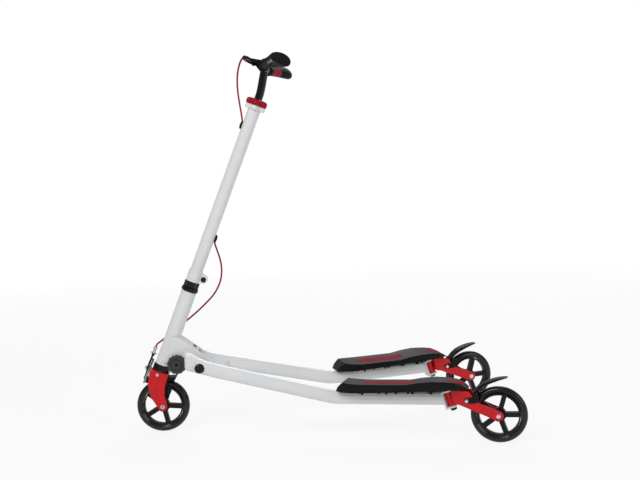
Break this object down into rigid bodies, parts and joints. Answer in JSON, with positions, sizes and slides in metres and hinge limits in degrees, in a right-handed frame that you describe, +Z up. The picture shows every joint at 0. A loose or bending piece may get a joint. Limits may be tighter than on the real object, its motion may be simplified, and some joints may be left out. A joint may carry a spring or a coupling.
{
  "type": "wiggle scooter",
  "caption": "Carving scooter with a steered front wheel, telescoping T-bar, hand brake and two splayed arms that carry foot decks and trailing caster wheels with foot brakes",
  "frame": {"origin": "on the floor, under the middle of the scooter's length and width", "axes": "+X to the rear, +Y to the rider's right, +Z up; the front wheel and the steering column lie in the plane Y = 0"},
  "size_m": [1.0273, 0.5298, 1.0122],
  "materials": {
    "white_paint": "gloss white paint",
    "white_tube": "white paint over an alloy tube",
    "silver_cast": "satin casting",
    "red_paint": "gloss red paint",
    "black_paint": "satin black paint",
    "black_plastic": "satin",
    "grey_cast": "satin casting",
    "red_plastic": "gloss",
    "red_rubber": "moulded with fine ribs",
    "black_rubber": "moulded",
    "tyre": "gloss cast polyurethane",
    "steel": "zinc plated",
    "white_plastic": "gloss"
  },
  "bodies": {
    "frame": {"arm_left": "white_tube", "arm_right": "white_tube", "frame_yoke": "white_paint", "pivot_bush": "black_plastic", "pivot_bolt": "black_paint", "arm_end_left": "silver_cast", "arm_end_right": "silver_cast", "kingpin_left": "black_paint", "kingpin_right": "black_paint", "deck_left": "black_plastic", "deck_right": "black_plastic", "deck_pad_left": "red_rubber", "deck_pad_right": "red_rubber", "heel_pad_left": "red_rubber", "heel_pad_right": "red_rubber"},
    "head": {"head_tube": "white_paint", "lower_headset": "black_paint", "upper_headset": "black_paint", "nose_bracket": "white_paint", "nose_plug": "red_plastic", "lock_bolt": "steel"},
    "knob": {"lock_knob": "black_plastic"},
    "steering": {"fork": "red_paint", "front_fender": "black_plastic", "front_axle": "steel", "headset_nut": "black_paint", "column": "white_paint", "clamp_screw": "steel", "collar_base": "white_plastic", "caliper_bolt": "steel", "caliper_spring": "steel", "brake_cable": "red_plastic", "grommet_upper": "black_rubber", "grommet_lower": "black_rubber"},
    "collar": {"collar_nut": "red_plastic"},
    "stem": {"handlebar": "black_paint", "grip_left": "black_rubber", "grip_right": "black_rubber", "lever_perch": "black_plastic"},
    "lever": {"brake_lever": "black_plastic"},
    "caliper_left": {"caliper_arm_left": "grey_cast", "brake_pad_left": "black_rubber"},
    "caliper_right": {"caliper_arm_right": "black_paint", "brake_pad_right": "black_rubber", "barrel_adjuster": "steel"},
    "front_wheel": {"front_tyre": "tyre", "front_wheel_core": "black_plastic", "front_bearings": "steel"},
    "caster_left": {"caster_fork_left": "red_paint", "rear_axle_left": "steel"},
    "caster_right": {"caster_fork_right": "red_paint", "rear_axle_right": "steel"},
    "rear_left_wheel": {"rear_left_tyre": "tyre", "rear_left_wheel_core": "black_plastic", "rear_left_bearings": "steel"},
    "rear_right_wheel": {"rear_right_tyre": "tyre", "rear_right_wheel_core": "black_plastic", "rear_right_bearings": "steel"},
    "fender_left": {"rear_fender_left": "black_plastic"},
    "fender_right": {"rear_fender_right": "black_plastic"}
  },
  "joints": [
    {"name": "fold", "type": "hinge", "parent": "frame", "child": "head", "pos_m": [-0.331, 0, 0.186], "axis": [0, 1, 0], "range_deg": [0, 88]},
    {"name": "lock_knob_turn", "type": "hinge", "parent": "head", "child": "knob", "pos_m": [-0.396, 0, 0.191], "axis": [0, 1, 0], "continuous": true},
    {"name": "steer", "type": "hinge", "parent": "head", "child": "steering", "pos_m": [-0.47909, 0, 0.08748], "axis": [0.3746, 0, 0.9272], "range_deg": [-45, 45]},
    {"name": "stem_slide", "type": "slide", "parent": "steering", "child": "stem", "axis": [0.3746, 0, 0.9272], "range_m": [-0.008, 0.1], "deforming": ["brake_cable"]},
    {"name": "collar_turn", "type": "hinge", "parent": "steering", "child": "collar", "pos_m": [-0.157, 0, 0.88468], "axis": [0.3746, 0, 0.9272], "range_deg": [0, 180]},
    {"name": "lever_pull", "type": "hinge", "parent": "stem", "child": "lever", "pos_m": [-0.15433, -0.079, 0.99167], "axis": [0.3746, 0, 0.9272], "range_deg": [0, 20], "stiffness_Nm_per_rad": 0.3, "springref_deg": -22.92},
    {"name": "caliper_left_turn", "type": "hinge", "parent": "steering", "child": "caliper_left", "pos_m": [-0.44818, 0, 0.16398], "axis": [0.9272, 0, -0.3746], "range_deg": [0, 2], "stiffness_Nm_per_rad": 0.3, "springref_deg": -17.19, "deforming": ["brake_cable", "caliper_spring"]},
    {"name": "caliper_right_turn", "type": "hinge", "parent": "steering", "child": "caliper_right", "pos_m": [-0.44818, 0, 0.16398], "axis": [0.9272, 0, -0.3746], "range_deg": [-2, 0], "stiffness_Nm_per_rad": 0.3, "springref_deg": 17.19, "deforming": ["brake_cable", "caliper_spring"]},
    {"name": "front_wheel_spin", "type": "hinge", "parent": "steering", "child": "front_wheel", "pos_m": [-0.442, 0, 0.0725], "axis": [0, 1, 0], "continuous": true},
    {"name": "caster_left_swivel", "type": "hinge", "parent": "frame", "child": "caster_left", "pos_m": [0.32302, -0.20267, 0.1105], "axis": [-0.2976, 0.0833, 0.9511], "range_deg": [-45, 45]},
    {"name": "rear_left_wheel_spin", "type": "hinge", "parent": "caster_left", "child": "rear_left_wheel", "pos_m": [0.44243, -0.23611, 0.0725], "axis": [0.2697, 0.963, 0], "continuous": true},
    {"name": "fender_left_press", "type": "hinge", "parent": "caster_left", "child": "fender_left", "pos_m": [0.36578, -0.21465, 0.11], "axis": [0.2697, 0.963, 0], "range_deg": [0, 6], "stiffness_Nm_per_rad": 0.8, "springref_deg": -17.19},
    {"name": "caster_right_swivel", "type": "hinge", "parent": "frame", "child": "caster_right", "pos_m": [0.32302, 0.20267, 0.1105], "axis": [-0.2976, -0.0833, 0.9511], "range_deg": [-45, 45]},
    {"name": "rear_right_wheel_spin", "type": "hinge", "parent": "caster_right", "child": "rear_right_wheel", "pos_m": [0.44243, 0.23611, 0.0725], "axis": [-0.2697, 0.963, 0], "continuous": true},
    {"name": "fender_right_press", "type": "hinge", "parent": "caster_right", "child": "fender_right", "pos_m": [0.36578, 0.21465, 0.11], "axis": [-0.2697, 0.963, 0], "range_deg": [0, 6], "stiffness_Nm_per_rad": 0.8, "springref_deg": -17.19}
  ],
  "couplings": [
    {"joint": "caliper_left_turn", "follows": "lever_pull", "ratio": 0.1},
    {"joint": "caliper_right_turn", "follows": "lever_pull", "ratio": -0.1}
  ]
}
